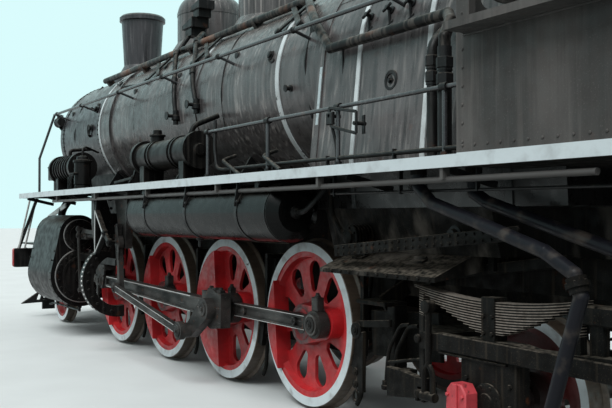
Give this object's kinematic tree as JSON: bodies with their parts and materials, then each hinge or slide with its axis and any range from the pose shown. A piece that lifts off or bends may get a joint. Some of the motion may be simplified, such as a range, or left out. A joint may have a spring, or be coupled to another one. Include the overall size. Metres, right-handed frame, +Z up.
{
  "type": "steam locomotive",
  "caption": "Steam locomotive with coupled driving wheels, outside cylinders and rods, a truck at each end, a round boiler and an open-windowed cab.",
  "frame": {"origin": "middle of the engine's length and width, at the flanges' lowest points", "axes": "+X forward along the boiler, +Y to the left, +Z up"},
  "size_m": [13.82, 3.3, 4.528],
  "materials": {
    "black_paint": "weathered black paint",
    "boiler_paint": "sooty dark grey paint with streaks",
    "pale_paint": "worn pale paint",
    "beam_paint": "red paint on the front and ends, black behind",
    "wheel_paint": "red paint with pale rims",
    "rod_steel": "oiled bright steel",
    "cast_iron": "oily cast iron",
    "cab_paint": "dusty grey-black paint",
    "seat_cloth": "worn brown covering"
  },
  "bodies": {
    "root": {"frame_left": "black_paint", "frame_right": "black_paint", "frame_crossties": "black_paint", "axle_boxes": "cast_iron", "front_beam": "beam_paint", "cowcatcher": "black_paint", "front_coupler": "cast_iron", "front_deck": "black_paint", "cylinder_saddle": "cast_iron", "cylinder_left": "boiler_paint", "cylinder_right": "boiler_paint", "guide_left": "rod_steel", "guide_right": "rod_steel", "valve_rods": "rod_steel", "smokebox": "boiler_paint", "boiler": "boiler_paint", "firebox": "boiler_paint", "boiler_bands": "pale_paint", "chimney": "boiler_paint", "sand_dome": "boiler_paint", "steam_dome": "boiler_paint", "steam_fittings": "black_paint", "running_board_left": "black_paint", "running_board_right": "black_paint", "handrails": "black_paint", "boiler_pipes": "black_paint", "air_tanks": "black_paint", "feed_pump": "cast_iron", "air_pump": "cast_iron", "turbo_generator": "black_paint", "ashpan": "black_paint", "cab_floor": "cab_paint", "cab_front": "cab_paint", "cab_side_left": "cab_paint", "cab_side_right": "cab_paint", "cab_rear": "cab_paint", "cab_roof": "cab_paint", "cab_seats": "seat_cloth", "brake_gear": "cast_iron", "drawbar_box": "cast_iron"},
    "smokebox_door": {"smokebox_door": "boiler_paint"},
    "leading_truck": {"leading_truck": "black_paint"},
    "leading_wheels": {"leading_wheels": "wheel_paint"},
    "trailing_truck": {"trailing_truck": "black_paint"},
    "trailing_wheels": {"trailing_wheels": "wheel_paint"},
    "driver_1": {"driver_1": "wheel_paint"},
    "driver_2": {"driver_2": "wheel_paint"},
    "driver_3": {"driver_3": "wheel_paint", "return_cranks": "rod_steel"},
    "driver_4": {"driver_4": "wheel_paint"},
    "coupling_rod_left": {"coupling_rod_left": "rod_steel"},
    "crosshead_left": {"crosshead_left": "rod_steel"},
    "main_rod_left": {"main_rod_left": "rod_steel"},
    "expansion_link_left": {"expansion_link_left": "rod_steel"},
    "eccentric_rod_left": {"eccentric_rod_left": "rod_steel"},
    "coupling_rod_right": {"coupling_rod_right": "rod_steel"},
    "crosshead_right": {"crosshead_right": "rod_steel"},
    "main_rod_right": {"main_rod_right": "rod_steel"},
    "expansion_link_right": {"expansion_link_right": "rod_steel"},
    "eccentric_rod_right": {"eccentric_rod_right": "rod_steel"}
  },
  "joints": [
    {"name": "smokebox_door_swing", "type": "hinge", "parent": "root", "child": "smokebox_door", "pos_m": [5.506, -0.707, 2.788], "axis": [0, 0, -1], "range_deg": [0, 110]},
    {"name": "leading_truck_swivel", "type": "hinge", "parent": "root", "child": "leading_truck", "pos_m": [4.28, 0, 0.578], "axis": [0, 0, 1], "range_deg": [-4, 4]},
    {"name": "leading_wheels_spin", "type": "hinge", "parent": "leading_truck", "child": "leading_wheels", "pos_m": [5.49, 0, 0.448], "axis": [0, 1, 0], "continuous": true},
    {"name": "trailing_truck_swivel", "type": "hinge", "parent": "root", "child": "trailing_truck", "pos_m": [-2.62, 0, 0.773], "axis": [0, 0, 1], "range_deg": [-3.5, 3.5]},
    {"name": "trailing_wheels_spin", "type": "hinge", "parent": "trailing_truck", "child": "trailing_wheels", "pos_m": [-4.2, 0, 0.528], "axis": [0, 1, 0], "continuous": true},
    {"name": "driver_3_spin", "type": "hinge", "parent": "root", "child": "driver_3", "pos_m": [-0.188, 0, 0.713], "axis": [0, 1, 0], "continuous": true},
    {"name": "driver_1_spin", "type": "hinge", "parent": "root", "child": "driver_1", "pos_m": [2.86, 0, 0.713], "axis": [0, 1, 0], "continuous": true},
    {"name": "driver_2_spin", "type": "hinge", "parent": "root", "child": "driver_2", "pos_m": [1.336, 0, 0.713], "axis": [0, 1, 0], "continuous": true},
    {"name": "driver_4_spin", "type": "hinge", "parent": "root", "child": "driver_4", "pos_m": [-1.712, 0, 0.713], "axis": [0, 1, 0], "continuous": true},
    {"name": "coupling_rod_left_pin", "type": "hinge", "parent": "driver_3", "child": "coupling_rod_left", "pos_m": [-0.54105, 0.925, 0.75011], "axis": [0, 1, 0], "continuous": true},
    {"name": "crosshead_left_slide", "type": "slide", "parent": "root", "child": "crosshead_left", "axis": [1, 0, 0], "range_m": [-0.0033, 0.7071]},
    {"name": "main_rod_left_wrist", "type": "hinge", "parent": "crosshead_left", "child": "main_rod_left", "pos_m": [2.60798, 1.09, 0.828], "axis": [0, -1, 0], "range_deg": [-5.79, 7.16]},
    {"name": "expansion_link_left_swing", "type": "hinge", "parent": "root", "child": "expansion_link_left", "pos_m": [1.645, 1.2566, 1.318], "axis": [0, -1, 0], "range_deg": [-15.17, 28.54]},
    {"name": "eccentric_rod_left_foot", "type": "hinge", "parent": "expansion_link_left", "child": "eccentric_rod_left", "pos_m": [1.58909, 1.3186, 0.81107], "axis": [0, 1, 0], "range_deg": [-15.67, 29.04]},
    {"name": "coupling_rod_right_pin", "type": "hinge", "parent": "driver_3", "child": "coupling_rod_right", "pos_m": [-0.15089, -0.925, 1.06605], "axis": [0, 1, 0], "continuous": true},
    {"name": "crosshead_right_slide", "type": "slide", "parent": "root", "child": "crosshead_right", "axis": [1, 0, 0], "range_m": [-0.3855, 0.325]},
    {"name": "main_rod_right_wrist", "type": "hinge", "parent": "crosshead_right", "child": "main_rod_right", "pos_m": [2.9901, -1.09, 0.828], "axis": [0, -1, 0], "range_deg": [-0.04, 12.92]},
    {"name": "expansion_link_right_swing", "type": "hinge", "parent": "root", "child": "expansion_link_right", "pos_m": [1.645, -1.2566, 1.318], "axis": [0, -1, 0], "range_deg": [-0.95, 42.76]},
    {"name": "eccentric_rod_right_foot", "type": "hinge", "parent": "expansion_link_right", "child": "eccentric_rod_right", "pos_m": [1.4663, -1.3186, 0.84033], "axis": [0, 1, 0], "range_deg": [-1.45, 43.26]}
  ],
  "couplings": [
    {"joint": "driver_1_spin", "follows": "driver_3_spin", "ratio": 1},
    {"joint": "driver_2_spin", "follows": "driver_3_spin", "ratio": 1},
    {"joint": "driver_4_spin", "follows": "driver_3_spin", "ratio": 1},
    {"joint": "coupling_rod_left_pin", "follows": "driver_3_spin", "ratio": -1},
    {"joint": "eccentric_rod_left_foot", "follows": "expansion_link_left_swing", "ratio": 1},
    {"joint": "coupling_rod_right_pin", "follows": "driver_3_spin", "ratio": -1},
    {"joint": "eccentric_rod_right_foot", "follows": "expansion_link_right_swing", "ratio": 1}
  ]
}
